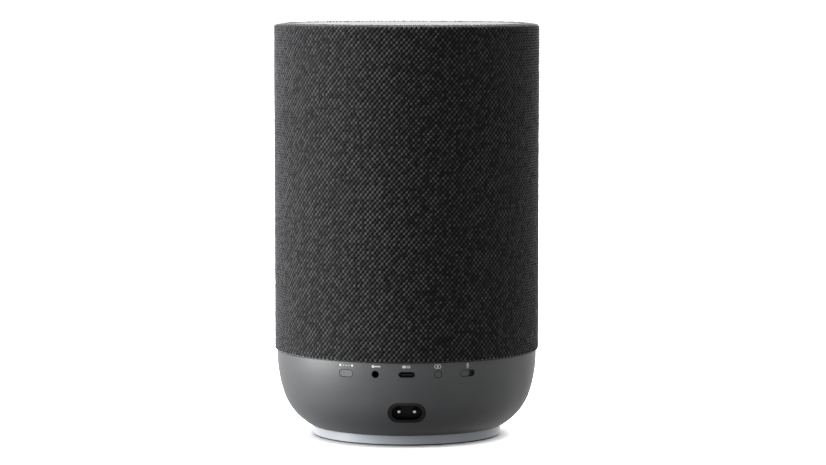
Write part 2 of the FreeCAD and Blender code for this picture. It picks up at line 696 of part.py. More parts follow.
def make_mic_slider():
    """The mute slide: a knob in its slot, the flange behind it and the lever of its switch."""
    body = new_body("mic_slider")
    flange_front = "sqrt(port_inner ^ 2 - (mic_width / 2 + mic_travel + 0.7) ^ 2) - rest_gap"
    middle = "mic_travel / 2"
    plate = new_sketch(body, "XZ", away="-(%s)" % flange_front)
    rectangle(plate, middle + " - 6.2", "port_height - 2.6", middle + " + 6.2", "port_height + 2.6")
    pad(body, plate, 1.0)
    knob = new_sketch(body, "XZ", away="-(%s)" % flange_front)
    pill(knob, middle, "port_height", "mic_knob", "mic_height - 2 * slide_gap")
    pad(body, knob, "face_radius - 0.2 - (%s)" % flange_front, Reversed=True)
    turn_about_axis(body, "port_outer_angle")
    lever = new_body("mic_lever")
    tab = new_sketch(lever, "XZ", away="-(switch_back + 2.4)")
    rectangle(tab, middle + " - 0.7", "port_height - 0.6", middle + " + 0.7", "port_height + 0.6")
    pad(lever, tab, "(%s) - 1.0 - switch_back - 2.4" % flange_front, Reversed=True)
    turn_about_axis(lever, "port_outer_angle")


def make_ribbon():
    """The flat cable from the socket board, up behind the cabinet, to the main board."""
    body = new_body("ribbon_cable")
    side = new_sketch(body, "YZ")
    low, top = "io_top", "main_board_base - 1.2"
    near, far = "cable_plane", "cable_plane + 0.8"
    foot, end = "cable_plane - 7.6", "cable_plane - 10.6"
    outline(side, [(foot, low), (foot + " + 0.8", low), (foot + " + 0.8", "io_top + 2"),
                   (far, "io_top + 5.6"), (far, top), (end, top), (end, top + " - 0.8"),
                   (near, top + " - 0.8"), (near, "io_top + 6"), (foot, "io_top + 2.4")])
    pad(body, side, "ribbon_width", Midplane=True)


# ---- deck ------------------------------------------------------------------------------------

def cabinet_posts():
    reach = "(cabinet_radius * 0.55)"
    return [(sx + reach, sy + reach) for sx in ("", "-") for sy in ("", "-")]


def make_deck():
    body = ring("deck", 0, "core_outer", "rim_top", "deck_top")
    stands = new_sketch(body, "XY", away="deck_top")
    for x, y in cabinet_posts():
        circle(stands, x, y, "stand_radius")
    pad(body, stands, "cabinet_stand")
    hangers = new_sketch(body, "XY", away="rim_top")
    for angle in io_posts():
        circle(hangers, "io_post_radius * sin(%s)" % angle, "io_post_radius * cos(%s)" % angle,
               "post_radius")
    pad(body, hangers, "rim_top - io_top", Reversed=True)
    post_holes = new_sketch(body, "XY", away="io_top")
    for angle in io_posts():
        circle(post_holes, "io_post_radius * sin(%s)" % angle, "io_post_radius * cos(%s)" % angle,
               "board_shank + screw_gap")
    pocket(body, post_holes, "board_shank * 4", Reversed=True)
    holes = new_sketch(body, "XY", away="deck_top")
    for x, y in deck_bosses():
        circle(holes, x, y, "case_shank + screw_gap")
    pocket(body, holes, "deck_wall + 1")
    slot = new_sketch(body, "XY", away="deck_top")
    rectangle(slot, "-ribbon_width / 2 - 1", "cable_plane - 8.6", "ribbon_width / 2 + 1", "cable_plane + 1.8")
    pocket(body, slot, "deck_wall + 1")
    return body


# ---- cabinet ---------------------------------------------------------------------------------

def drum(sketch, radius, front, back):
    """The cabinet's plan: a circle with a flat front and a flat back."""
    front_x = "sqrt((%s) ^ 2 - (%s) ^ 2)" % (radius, front)
    back_x = "sqrt((%s) ^ 2 - (%s) ^ 2)" % (radius, back)
    outline(sketch, [("-" + front_x, "-(%s)" % front), (front_x, "-(%s)" % front, 0, 0, "ccw"),
                     (back_x, back), ("-" + back_x, back, 0, 0, "ccw")])


def lid_bosses():
    """The lid's screw places: four by the side walls and two by the back wall."""
    reach = "(cabinet_radius - cabinet_wall - 4)"
    back = ("(back_offset - cabinet_wall - 3.6)")
    spots = []
    for side in ("", "-"):
        spots += [("%s%s * cos(28)" % (side, reach), "-%s * sin(28)" % reach),
                  ("%s%s * cos(22)" % (side, reach), "%s * sin(22)" % reach), (side + "22", back)]
    return spots


def make_cabinet():
    body = new_body("cabinet_body")
    plan = new_sketch(body, "XY", away="cabinet_base")
    drum(plan, "cabinet_radius", "baffle_offset", "back_offset")
    pad(body, plan, "cabinet_height")
    hollow = new_sketch(body, "XY", away="cabinet_top")
    drum(hollow, "cabinet_radius - cabinet_wall", "baffle_offset - baffle_wall", "back_offset - cabinet_wall")
    pocket(body, hollow, "cabinet_height - cabinet_wall")
    bosses = new_sketch(body, "XY", away="cabinet_top")
    for x, y in lid_bosses():
        circle(bosses, x, y, "lid_boss")
    pad(body, bosses, "boss_depth", Reversed=True)
    holes = new_sketch(body, "XY", away="cabinet_top")
    for x, y in lid_bosses():
        circle(holes, x, y, "case_shank + screw_gap")
    pocket(body, holes, "case_shank * 4 + 1")
    drivers = new_sketch(body, "XZ", away="baffle_offset - baffle_wall - 1")
    circle(drivers, 0, "woofer_height", "woofer_hole")
    for side in ("", "-"):
        circle(drivers, side + "tweeter_spread", "tweeter_height", "tweeter_hole")
    pocket(body, drivers, "baffle_wall + 2", Reversed=True)
    screws = new_sketch(body, "XZ", away="baffle_offset")
    for x, z in woofer_screws() + tweeter_screws():
        circle(screws, x, z, "board_shank + screw_gap")
    pocket(body, screws, "baffle_wall + 1")


def make_lid():
    gasket = new_body("lid_gasket")
    plan = new_sketch(gasket, "XY", away="cabinet_top")
    drum(plan, "cabinet_radius - fit_gap", "baffle_offset - fit_gap", "back_offset - fit_gap")
    drum(plan, "cabinet_radius - cabinet_wall", "baffle_offset - cabinet_wall", "back_offset - cabinet_wall")
    pad(gasket, plan, "gasket_wall")
    lid = new_body("cabinet_lid")
    plate = new_sketch(lid, "XY", away="gasket_top")
    drum(plate, "cabinet_radius", "baffle_offset", "back_offset")
    pad(lid, plate, "lid_wall")
    holes = new_sketch(lid, "XY", away="lid_top")
    for x, y in lid_bosses():
        circle(holes, x, y, "case_shank + screw_gap")
    circle(holes, 0, 20, "lead_hole")
    pocket(lid, holes, "lid_wall + 1")


# ---- drivers ---------------------------------------------------------------------------------

def woofer_screws():
    reach = "((woofer_radius + woofer_hole + 1) / 2)"
    return [("%s * sin(%d)" % (reach, angle), "woofer_height + %s * cos(%d)" % (reach, angle))
            for angle in range(30, 360, 60)]


def tweeter_screws():
    reach = "((tweeter_radius + tweeter_hole) / 2)"
    return [("%stweeter_spread + %s * sin(%d)" % (side, reach, angle),
             "tweeter_height + %s * cos(%d)" % (reach, angle)) for side in ("", "-") for angle in (45, 225)]


def driver_holes(body, face, spots, x_centre, z_centre):
    """Clearance holes through a driver's flange, from its front face."""
    holes = new_sketch(body, "XY", away=face)
    for x, z in spots:
        circle(holes, "%s - (%s)" % (x, x_centre), "%s - %s" % (z, z_centre), "board_shank + screw_gap")
    pocket(body, holes, "woofer_flange + 1")


def make_woofer():
    """The woofer's pieces, each modelled with its own axis up and the baffle's face at 0."""
    height = "woofer_height"
    front = "gasket_wall + woofer_flange"
    gasket = ring("woofer_gasket", "woofer_hole", "woofer_radius", 0, "gasket_wall")
    driver_holes(gasket, "gasket_wall", woofer_screws(), "0", "woofer_height")
    face_front(gasket, height)
    basket = new_body("woofer_basket")
    spin(basket, [("woofer_hole - 3.2", "gasket_wall"), ("woofer_hole - 1.4", "gasket_wall"),
                  ("woofer_hole - 1.4", -3), ("woofer_hole - 5.6", -23), ("woofer_hole - 15.7", -23),
                  ("woofer_hole - 15.7", -21), ("woofer_hole - 7.4", -21), ("woofer_hole - 3.2", -3.4)])
    rim = new_sketch(basket, "XY", away="gasket_wall")
    circle(rim, 0, 0, "woofer_radius")
    circle(rim, 0, 0, "woofer_hole - 3.2")
    pad(basket, rim, "woofer_flange")
    window = new_sketch(basket, "XZ", away="-20")
    rectangle(window, -7.5, -18.5, 7.5, -5)
    cut = pocket(basket, window, "woofer_radius")
    around(basket, cut, "6")
    driver_holes(basket, front, woofer_screws(), "0", "woofer_height")
    face_front(basket, height)
    make_surround(height, front)
    make_cone(height, front)
    make_motor(height)


def make_surround(height, front):
    """A half roll of rubber between the flange and the cone's edge."""
    middle, skin = "(woofer_hole - 2.5)", 0.7
    inner, outer = 2.5, 3.2
    foot = math.sqrt(outer ** 2 - skin ** 2)
    high = front + " + %s" % skin
    face_front(spun("woofer_surround", [
        (middle + " - 5.2", front), (middle + " - %s" % inner, front, middle, front, "cw"),
        (middle + " + %s" % inner, front), (middle + " + 4.4", front), (middle + " + 4.4", high),
        (middle + " + %s" % foot, high, middle, front, "ccw"), (middle + " - %s" % foot, high),
        (middle + " - 5.2", high)]), height)


def make_cone(height, front):
    """What the voice coil moves: coil, cone and dust cap, and the spider that centres them."""
    coil = ring("woofer_coil", "coil_radius - 0.4", "coil_radius + 0.4", -33, -11)
    cone = spun("woofer_cone", [
        ("coil_radius + 0.4", -12.4), ("woofer_hole - 5.3", front + " - 0.8"),
        ("woofer_hole - 5.8", front), ("coil_radius + 0.4", -11.6)])
    cap_radius, cap_edge = 20.3, "(coil_radius + 1.7)"
    low = "(1.32 * (11.6 + %s) / (woofer_hole - coil_radius - 6.2) - 11.6)" % front
    middle = "%s - sqrt(%s ^ 2 - %s ^ 2)" % (low, cap_radius, cap_edge)
    inner_edge = "sqrt(%s ^ 2 - (%s ^ 2 - %s ^ 2))" % (cap_radius - 0.5, cap_radius, cap_edge)
    cap = spun("woofer_dust_cap", [
        (cap_edge, low, 0, middle, "ccw"), (0, "%s + %s" % (middle, cap_radius)),
        (0, "%s + %s" % (middle, cap_radius - 0.5), 0, middle, "cw"), (inner_edge, low)])
    waves = 5
    start, end = "(coil_radius + 0.4)", "(woofer_hole - 12.8)"
    pitch = "(%s - 1.5 - %s) / %d" % (end, start, 2 * waves)
    top = [("%s + %d * %s" % (start, step, pitch), -20.3 if step % 2 else -19.3) for step in range(2 * waves)]
    under = [(x, z - 0.45) for x, z in reversed(top)]
    spider = spun("woofer_spider", under + top + [(end, -20.55), (end, -21)])
    for body in (coil, cone, cap, spider):
        face_front(body, height)


def make_motor(height):
    """The magnet system: front plate, ferrite ring, and the yoke with its pole."""
    face_front(ring("woofer_top_plate", "coil_radius + 1.2", 30, -27, -23), height)
    face_front(ring("woofer_magnet", "coil_radius + 3.5", 31, -39, -27), height)
    face_front(spun("woofer_yoke", [(0, -43), (30, -43), (30, -39), ("coil_radius - 1.3", -39),
                                    ("coil_radius - 1.3", -23.5), (0, -23.5)]), height)


def make_tweeters():
    for side, sign in (("left", "-"), ("right", "")):
        where = sign + "tweeter_spread"
        frame = spun("tweeter_%s_frame" % side, [
            ("tweeter_hole - 2.5", -9.5), ("tweeter_hole - 0.5", -9.5), ("tweeter_hole - 0.5", 0),
            ("tweeter_radius", 0), ("tweeter_radius", 2.0), ("dome_radius + 3.3", 2.0),
            ("dome_radius + 1.4", 0.6), ("dome_radius + 1.4", -1.6), ("tweeter_hole - 2.5", -1.6)])
        driver_holes(frame, "2.0", tweeter_screws()[2:], "-tweeter_spread", "tweeter_height")
        middle = "0.4 - sqrt(10.6 ^ 2 - dome_radius ^ 2)"
        dome = spun("tweeter_%s_dome" % side, [
            ("dome_radius", 0.4, 0, middle, "ccw"), (0, middle + " + 10.6"),
            (0, middle + " + 10.2", 0, middle, "cw"), ("sqrt(10.2 ^ 2 - 10.6 ^ 2 + dome_radius ^ 2)", 0.4),
            ("dome_radius - 1.0", -1.2), ("dome_radius + 1.0", -1.2), ("dome_radius + 1.0", 0.4)])
        magnet = spun("tweeter_%s_magnet" % side, [
            (0, -12.5), ("tweeter_hole - 3", -12.5), ("tweeter_hole - 3", -3.2), (4, -3.2), (4, -5), (0, -5)])
        for body in (frame, dome, magnet):
            face_front(body, "tweeter_height", where)


def make_driver_leads():
    """Woofer and tweeter leads, gathered through the lid to the main board."""
    top = number("main_board_base")
    baffle = -number("baffle_offset")
    woofer, tweeter = number("woofer_height"), number("tweeter_height")
    spread = number("tweeter_spread")
    radius = number("lead_radius")
    leads = []
    for side in (-1, 1):
        start, rise = V(side * 4, baffle + 24, woofer + 34.6), V(side * 4, 22, woofer + 34.6)
        leads.append(lead([start, rise, V(side * 4, 22, top)], radius, 8))
        start = V(side * spread, baffle + 12.5, tweeter)
        turn = V(side * spread, 14, tweeter)
        leads.append(lead([start, turn, V(side * 7.5, 16, tweeter + 12), V(side * 7.5, 16, top)], radius, 5))
    solid("driver_leads", Part.Compound(leads))


# ---- top -------------------------------------------------------------------------------------

def frame_posts():
    """Angles of the posts for the main board and, further out, for the touch board."""
    return (45, 135, 225, 315)


def circles_around(sketch, radius, size):
    """A circle at each of the frame's post angles."""
    for angle in frame_posts():
        circle(sketch, "%s * cos(%d)" % (radius, angle), "%s * sin(%d)" % (radius, angle), size)


def make_top_frame():
    """The tray on the lid that carries both boards, the core and the top panel."""
    body = spun("top_frame", [
        ("frame_opening", "lid_top"), ("core_inner - fit_gap", "lid_top"),
        ("core_inner - fit_gap", "frame_floor"), ("frame_outer", "frame_floor"),
        ("frame_outer", "panel_under"), ("frame_inner", "panel_under"), ("frame_inner", "frame_floor"),
        ("frame_opening", "frame_floor")])
    for radius, top in (("main_post_radius", "main_board_base"), ("touch_post_radius", "touch_board_base")):
        posts = new_sketch(body, "XY", away="lid_top")
        circles_around(posts, radius, "post_radius")
        pad(body, posts, top + " - lid_top")
        holes = new_sketch(body, "XY", away=top)
        circles_around(holes, radius, "board_shank + screw_gap")
        pocket(body, holes, "board_shank * 4 + 0.2")
    heads = new_sketch(body, "XY", away="frame_floor")
    for x, y in lid_bosses():
        circle(heads, x, y, "case_head + fit_gap")
    pocket(body, heads, "lid_wall + 1")
    slot = new_sketch(body, "XY", away="main_board_base - fit_gap")
    rectangle(slot, "-ribbon_width / 2 - 1", "cable_plane - 2", "ribbon_width / 2 + 1", "cable_plane + 3")
    pocket(body, slot, "main_board_base - lid_top + 1")


def make_boards():
    for name, wall in (("main", "board_wall"), ("touch", "touch_board_wall")):
        radius, post, base = name + "_board_radius", name + "_post_radius", name + "_board_base"
        board = ring(name + "_board", 0, radius, base, "%s + %s" % (base, wall))
        holes = new_sketch(board, "XY", away="%s + %s" % (base, wall))
        circles_around(holes, post, "board_shank + screw_gap")
        pocket(board, holes, wall + " + 1")
    can = new_body("shield_can")
    for skin, floor in (("0", "can_height"), ("can_wall", "can_height - can_wall")):
        plan = new_sketch(can, "XY", away="main_board_base + board_wall")
        rectangle(plan, "-24 + " + skin, "-16 + " + skin, "12 - " + skin, "14 - " + skin)
        if skin == "0":
            pad(can, plan, floor)
        else:
            pocket(can, plan, floor, Reversed=True)


def make_top_panel():
    """The touch panel: a plate with four small microphone holes and a lip inside the frame."""
    body = spun("top_panel", [
        (0, "panel_under"), ("frame_inner - fit_gap - panel_lip", "panel_under"),
        ("frame_inner - fit_gap - panel_lip", "panel_under - panel_lip"),
        ("frame_inner - fit_gap", "panel_under - panel_lip"),
        ("frame_inner - fit_gap", "panel_under"), ("panel_radius", "panel_under"),
        ("panel_radius", "panel_top - 0.5", "panel_radius - 0.5", "panel_top - 0.5", "ccw"),
        ("panel_radius - 0.5", "panel_top"), (0, "panel_top")])
    holes = new_sketch(body, "XY", away="panel_top")
    circles_around(holes, "mic_radius", "mic_hole")
    pocket(body, holes, "panel_plate + 1")
    seals = new_body("mic_gasket", kept=False)
    low = "touch_board_base + touch_board_wall"
    spin(seals, [("mic_hole * 1.5", low), ("seal_radius", low), ("seal_radius", "panel_under"),
                 ("mic_hole * 1.5", "panel_under")])
    copies = []
    for angle in frame_posts():
        copy = seals.Shape.copy()
        copy.Placement = FreeCAD.Placement(polar(number("mic_radius"), angle, 0), FreeCAD.Rotation())
        copies.append(copy)
    solid("mic_gaskets", Part.Compound(copies))
    ring("light_guide", "guide_inner", "guide_outer", low, "panel_under")


def rim_line(inside, drop):
    """The rim's corner arc and the end of its slope, at a depth inside the sleeve's outer face."""
    radius = "(sleeve_round - %s)" % inside
    arc_end = ("rim_x + %s * sin(rim_slope)" % radius, "rim_z + %s * cos(rim_slope)" % radius)
    rise = "(%s - (%s)) * tan(rim_slope)" % (arc_end[0], drop)
    return [("rim_x + " + radius, "rim_z", "rim_x", "rim_z", "ccw"), arc_end,
            (drop, "%s + %s" % (arc_end[1], rise))]


def make_core():
    """The slotted core that holds the sleeve's shape, with an inner flange under the sleeve's rim."""
    under = "(sleeve_wall + fit_gap)"
    rim = rim_line(under, "tuck_outer + fit_gap")
    flange = "%s - core_wall" % rim[2][1]
    body = spun("grille_core", [
        ("core_inner", "deck_top"), ("core_outer", "deck_top")] + rim + [
        ("tuck_outer + fit_gap", flange), ("core_inner", flange)])
    slots = new_sketch(body, "XZ", away="-cabinet_radius")
    for row in range(int(number("slot_rows"))):
        low = "slot_floor + slot_pitch * %d" % row
        rectangle(slots, "-slot_width / 2", low, "slot_width / 2", low + " + slot_pitch - slot_bar")
    cut = pocket(body, slots, "body_radius - cabinet_radius")
    around(body, cut, "core_columns")


def make_sleeve():
    """The woven sleeve: over the core's corner, up its sloping rim, and down beside the panel."""
    top = "body_height"
    outer = rim_line("0", "tuck_inner + hem_round")
    inner = rim_line("sleeve_wall", "tuck_outer")
    corner, arc_end, inner_end = inner
    spun("fabric_sleeve", [
        ("sleeve_inner", "base_height"),
        ("body_radius - hem_round", "base_height", "body_radius - hem_round",
         "base_height + hem_round", "ccw"),
        ("body_radius", "base_height + hem_round"), outer[0], outer[1],
        (outer[2][0], top, outer[2][0], top + " - hem_round", "ccw"),
        ("tuck_inner", top + " - hem_round"), ("tuck_inner", top + " - tuck_depth"),
        ("tuck_outer", top + " - tuck_depth"), inner_end,
        arc_end + ("rim_x", "rim_z", "cw"), corner[:2]])


# ---- screws in place -------------------------------------------------------------------------

def make_screws():
    case = screw_master("case_screw", "case_shank", "case_head")
    board = screw_master("board_screw", "board_shank", "board_head")
    up, down, front = V(0, 0, 1), V(0, 0, -1), V(0, -1, 0)

    def at(spots, height, facing):
        return [(V(number(x), number(y), number(height)), facing) for x, y in spots]

    screw_group("bottom_screws", case, at(plate_holes(), "foot_height", down))
    screw_group("case_screws", case, at(deck_bosses(), "deck_top", up) + at(lid_bosses(), "lid_top", up))
    hangers = [(V(number("io_post_radius * sin(%s)" % angle), number("io_post_radius * cos(%s)" % angle),
                  number("io_base")), down) for angle in io_posts()]
    mains, touch = [
        [(polar(number(radius), angle, number(top)), up) for angle in frame_posts()]
        for radius, top in (("main_post_radius", "main_board_base + board_wall"),
                            ("touch_post_radius", "touch_board_base + touch_board_wall"))]
    screw_group("board_screws", board, at(power_posts(), "power_top", up) + hangers + mains + touch)
    woofer_face = "-(baffle_offset + gasket_wall + woofer_flange)"
    drivers = [(V(number(x), number(woofer_face), number(z)), front) for x, z in woofer_screws()]
    drivers += [(V(number(x), number("-(baffle_offset + 2)"), number(z)), front) for x, z in tweeter_screws()]
    screw_group("driver_screws", board, drivers)


# ---- the whole speaker -----------------------------------------------------------------------

def check_and_write():
    """Stop if any object failed; otherwise write each piece to its own file."""
    doc.recompute()
    for item in doc.Objects:
        assert not {"Invalid", "Error"} & set(item.State), "%s: %s" % (item.Label, item.State)
    os.makedirs("parts", exist_ok=True)
    for part in NODES:
        assert not part.Shape.isNull() and part.Shape.isValid(), part.Label + " has no valid shape"
        part.Shape.exportStep("parts/%s.step" % part.Label)
    print("%d pieces" % len(NODES))


doc = FreeCAD.newDocument("speaker")
sizes = fill_sheet(doc, "Sizes", SIZES, "")
formulas = {alias: bound(formula).replace("Places.", "") for alias, formula in PLACES.items()}
places = fill_sheet(doc, "Places", formulas, "=")
make_foot()
make_base_shell()
make_bottom_plate()
make_power_board()
make_transformer()
make_power_parts()
make_inlet()
make_pins()
make_mains_leads()
make_io_board()
make_usb()
make_aux_jack()
make_button("connect_button", "-port_outer_angle", "connect_width", "connect_height")
make_button("pair_button", "port_inner_angle", "pair_diameter", "pair_diameter")
make_switches()
make_mic_slider()
make_ribbon()
make_deck()
make_cabinet()
make_lid()
make_woofer()
make_tweeters()
make_driver_leads()
make_top_frame()
make_boards()
make_top_panel()
make_core()
make_sleeve()
make_screws()
check_and_write()
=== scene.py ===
import json
import math
import bmesh
import bpy
import numpy as np
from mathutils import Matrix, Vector


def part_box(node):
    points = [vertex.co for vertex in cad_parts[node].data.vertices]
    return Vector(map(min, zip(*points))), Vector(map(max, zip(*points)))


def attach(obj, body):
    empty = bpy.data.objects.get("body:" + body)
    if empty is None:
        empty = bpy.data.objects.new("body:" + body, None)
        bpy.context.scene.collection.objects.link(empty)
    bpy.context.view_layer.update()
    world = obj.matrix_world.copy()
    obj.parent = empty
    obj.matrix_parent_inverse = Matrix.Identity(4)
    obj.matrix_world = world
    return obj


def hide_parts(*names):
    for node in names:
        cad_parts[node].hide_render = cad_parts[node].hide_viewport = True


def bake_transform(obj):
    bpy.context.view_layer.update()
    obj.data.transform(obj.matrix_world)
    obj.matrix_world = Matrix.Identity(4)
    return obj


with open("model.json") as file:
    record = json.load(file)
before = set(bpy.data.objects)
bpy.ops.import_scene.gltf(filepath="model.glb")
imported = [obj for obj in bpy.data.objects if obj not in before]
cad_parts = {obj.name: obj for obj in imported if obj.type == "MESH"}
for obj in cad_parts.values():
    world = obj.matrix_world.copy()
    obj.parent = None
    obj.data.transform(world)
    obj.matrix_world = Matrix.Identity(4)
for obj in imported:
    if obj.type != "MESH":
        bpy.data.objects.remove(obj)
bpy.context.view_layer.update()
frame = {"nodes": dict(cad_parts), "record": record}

MM = 0.001
SEED = 11


# ---- places read from the frame --------------------------------------------------------------

def reach_of(node):
    """How far a round node reaches from the Z axis."""
    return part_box(node)[1][0]


def angle_of(node):
    """A node's angle about Z, from +Y towards +X."""
    low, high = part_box(node)
    return math.atan2((low[0] + high[0]) / 2, (low[1] + high[1]) / 2)


SLEEVE_RADIUS = reach_of("fabric_sleeve")
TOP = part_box("fabric_sleeve")[1][2]
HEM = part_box("fabric_sleeve")[0][2]
PORT_HEIGHT = (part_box("usb_shell")[0][2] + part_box("usb_shell")[1][2]) / 2
PANEL_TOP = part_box("top_panel")[1][2]


def in_scene(name, data):
    """A new object that shows its data."""
    item = bpy.data.objects.new(name, data)
    bpy.context.scene.collection.objects.link(item)
    return item


# ---- camera, floor and light -----------------------------------------------------------------

CAMERA_DISTANCE = 1.842     # metres from the speaker's axis, on the side with the sockets
CAMERA_RISE = 0.031         # metres above the top of the CAD sleeve
CAMERA_AIM = 0.1129         # height on the axis that it points at
CAMERA_LENS, CAMERA_SENSOR = 143.8, 36.0    # millimetres
CAMERA_SHIFT = 0.0076       # of the picture's width, which puts the speaker a little to one side
FLOOR_REACH = 40.0          # metres from the middle to an edge

# Place, size and watts. The softbox lights the speaker, and the other only the floor.
SOFTBOX = ((1.65, 0.3, 0.55), (0.8, 1.3), 103)
FLOOR_LIGHT = ((0.0, -0.5, 2.2), (4.4, 4.4), 370)

# The room's brightness from straight down, at 0, through the horizon, at 0.5, to straight up.
ROOM_LEVELS = ((0.0, 0.16), (0.485, 0.2), (0.497, 0.66), (0.62, 0.66), (1.0, 1.0))
SHADED_WAY = (-0.77, 0.64, 0.0)    # the direction in which the room is darkest
SHADED_FROM, SHADED_TO = -0.5, 0.85    # cosines to it, where the shading starts and is full
BRIGHT_ROOM, DIM_ROOM = 1.7, 1.05      # the room's strength at each


def aim(item, target):
    item.rotation_euler = (Vector(target) - item.location).to_track_quat("-Z", "Y").to_euler()


def make_camera():
    """A long lens behind the speaker, a little above it, aimed at its middle."""
    data = bpy.data.cameras.new("camera")
    camera = in_scene("camera", data)
    bpy.context.scene.camera = camera
    camera.location = (0.0, CAMERA_DISTANCE, TOP + CAMERA_RISE)
    aim(camera, (0.0, 0.0, CAMERA_AIM))
    data.lens = CAMERA_LENS
    data.sensor_width = CAMERA_SENSOR
    data.shift_x = CAMERA_SHIFT
    data.clip_end = 100.0


def make_light(name, place, size, watts, floor, on_floor):
    """A rectangular light that lights either the floor alone, or everything but the floor."""
    data = bpy.data.lights.new(name, "AREA")
    data.shape = "RECTANGLE"
    data.size, data.size_y = size
    data.energy = watts
    light = in_scene(name, data)
    light.location = place
    aim(light, (0, 0, TOP / 2))
    lit = bpy.data.collections.new(name + " lights")
    lit.objects.link(floor)
    light.light_linking.receiver_collection = lit
    lit.collection_objects[0].light_linking.link_state = "INCLUDE" if on_floor else "EXCLUDE"


def make_studio():
    """A white room over a pale floor, with a softbox on the +X side. The room is a little darker behind the
    camera on the -X side, and grey below the horizon, so that undersides stay dark. The floor has its own
    light, which keeps it white, and lights nothing itself."""
    world = bpy.data.worlds.new("studio")
    bpy.context.scene.world = world
    world.use_nodes = True
    tree = world.node_tree
    way = add(tree, "TexCoord").outputs["Generated"]
    up = add(tree, "SeparateXYZ", {"Vector": way}).outputs["Z"]
    height = add(tree, "MapRange", {"Value": up, "From Min": -1.0, "From Max": 1.0}).outputs["Result"]
    room = add(tree, "ValToRGB", {"Fac": height})
    stops = room.color_ramp.elements
    for place, level in ROOM_LEVELS:
        stop = stops[0] if place == 0.0 else stops[1] if place == 1.0 else stops.new(place)
        stop.color = grey(level)
    background = tree.nodes["Background"]
    tree.links.new(room.outputs["Color"], background.inputs["Color"])
    toward = add(tree, "VectorMath", {0: way, 1: SHADED_WAY}, operation="DOT_PRODUCT")
    strength = add(tree, "MapRange", {"Value": toward.outputs["Value"], "From Min": SHADED_FROM,
                                      "From Max": SHADED_TO, "To Min": BRIGHT_ROOM, "To Max": DIM_ROOM})
    tree.links.new(strength.outputs["Result"], background.inputs["Strength"])
    bpy.context.scene.view_settings.view_transform = "Standard"

    mesh = bpy.data.meshes.new("floor")
    corners = [(x * FLOOR_REACH, y * FLOOR_REACH, 0) for x, y in ((-1, -1), (1, -1), (1, 1), (-1, 1))]
    mesh.from_pydata(corners, [], [(0, 1, 2, 3)])
    mesh.materials.append(new_material("matt white vinyl", "#fafafa", 0.8)[0])
    floor = in_scene("floor", mesh)
    floor.visible_diffuse = False
    floor.visible_glossy = False
    make_light("left softbox", *SOFTBOX, floor, False)
    make_light("floor light", *FLOOR_LIGHT, floor, True)


# ---- materials -------------------------------------------------------------------------------

def linear(colour):
    """An sRGB hex colour as linear RGBA."""
    parts = [int(colour[index:index + 2], 16) / 255 for index in (1, 3, 5)]
    return [part / 12.92 if part <= 0.04045 else ((part + 0.055) / 1.055) ** 2.4 for part in parts] + [1.0]


def grey(level):
    return (level, level, level, 1.0)


def new_material(name, colour, roughness, metallic=0.0, ior=1.5):
    material = bpy.data.materials.new(name)
    material.use_nodes = True
    tree = material.node_tree
    shader = tree.nodes["Principled BSDF"]
    shader.inputs["Base Color"].default_value = linear(colour)
    shader.inputs["Roughness"].default_value = roughness
    shader.inputs["Metallic"].default_value = metallic
    if not metallic:
        shader.inputs["IOR"].default_value = ior
    return material, tree, shader


def add(tree, kind, inputs=None, **settings):
    """Add a node with its settings. An input is a value, or the output socket that feeds it."""
    item = tree.nodes.new("ShaderNode" + kind)
    for name, setting in settings.items():
        setattr(item, name, setting)
    for name, value in (inputs or {}).items():
        if isinstance(value, bpy.types.NodeSocket):
            tree.links.new(value, item.inputs[name])
        else:
            item.inputs[name].default_value = value
    return item


def between(tree, factor, low, high, start, end):
    """A colour or grey that runs from low to high as a factor runs from start to end."""
    item = add(tree, "ValToRGB", {"Fac": factor})
    item.color_ramp.elements[0].position = start
    item.color_ramp.elements[1].position = end
    item.color_ramp.elements[0].color = low
    item.color_ramp.elements[1].color = high
    return item.outputs["Color"]


def spots(tree, size_mm, detail=3.0, stretch=(1.0, 1.0, 1.0)):
    """Noise whose features are about one size across. A stretch below 1 lengthens them on that axis."""
    place = add(tree, "TexCoord").outputs["Object"]
    place = add(tree, "Mapping", {"Vector": place, "Scale": stretch}).outputs["Vector"]
    noise = add(tree, "TexNoise", {"Vector": place, "Scale": 1.0 / (size_mm * MM), "Detail": detail})
    return noise.outputs[0]


def bump(tree, shader, height, depth_mm):
    item = add(tree, "Bump", {"Height": height, "Distance": depth_mm * MM})
    tree.links.new(item.outputs["Normal"], shader.inputs["Normal"])


def feed(tree, socket, shader, name):
    tree.links.new(socket, shader.inputs[name])


def moulded(name, colour, shade, roughness, grain_mm=0.5, grain_depth=0.008, spread=0.05, ior=1.53):
    """Moulded plastic: a fine eroded grain, faint flow mottling, and rubbed patches in the sheen."""
    material, tree, shader = new_material(name, colour, roughness, ior=ior)
    mottling = between(tree, spots(tree, 14.0), linear(shade), linear(colour), 0.3, 0.7)
    feed(tree, mottling, shader, "Base Color")
    rubbed = between(tree, spots(tree, 25.0, 5.0), grey(roughness - spread), grey(roughness + spread),
                     0.3, 0.7)
    feed(tree, rubbed, shader, "Roughness")
    bump(tree, shader, spots(tree, grain_mm, 2.0), grain_depth)
    return material


def rolled(name, colour, roughness, scratch_mm=1.2):
    """Plated or rolled metal: fine drawn scratches that break up the shine."""
    material, tree, shader = new_material(name, colour, roughness, metallic=1.0)
    marks = spots(tree, scratch_mm, 6.0, (0.15, 1.0, 1.0))
    feed(tree, between(tree, marks, grey(roughness - 0.08), grey(roughness + 0.12), 0.3, 0.7),
         shader, "Roughness")
    bump(tree, shader, marks, 0.01)
    return material


